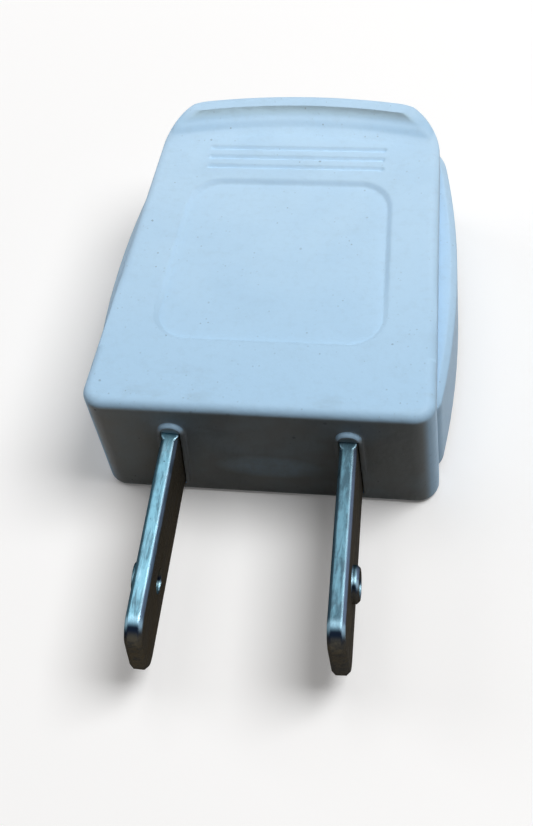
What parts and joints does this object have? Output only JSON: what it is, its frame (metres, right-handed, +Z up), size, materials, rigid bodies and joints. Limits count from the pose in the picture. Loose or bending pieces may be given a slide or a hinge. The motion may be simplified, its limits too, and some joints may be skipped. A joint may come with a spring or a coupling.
{
  "type": "two-prong plug",
  "caption": "Rewirable mains plug with flat parallel blades, a two-shell body, a raised finger grip at the back and a round cable inlet.",
  "frame": {"origin": "middle of the front face that seats on a socket, half way between the two blades", "axes": "-Y along the blades out of the front face, +Y back to the cable inlet, +Z up from the flat underside to the finger grip, +X across the blades"},
  "size_m": [0.0256, 0.0448, 0.012],
  "materials": {
    "shell_plastic": "moulded, slightly worn and dirty",
    "blade_metal": "plated, streaked along its length",
    "screw_steel": "zinc plated",
    "terminal_brass": "bright",
    "clamp_steel": "stamped, zinc plated"
  },
  "bodies": {
    "root": {"top_cover": "shell_plastic", "bottom_housing": "shell_plastic", "left_blade": "blade_metal", "right_blade": "blade_metal", "left_terminal_screw": "terminal_brass", "right_terminal_screw": "terminal_brass", "left_terminal_washer": "terminal_brass", "right_terminal_washer": "terminal_brass", "cord_clamp": "clamp_steel", "left_clamp_screw": "screw_steel", "right_clamp_screw": "screw_steel", "housing_screw": "screw_steel", "housing_nut": "screw_steel"}
  },
  "joints": []
}
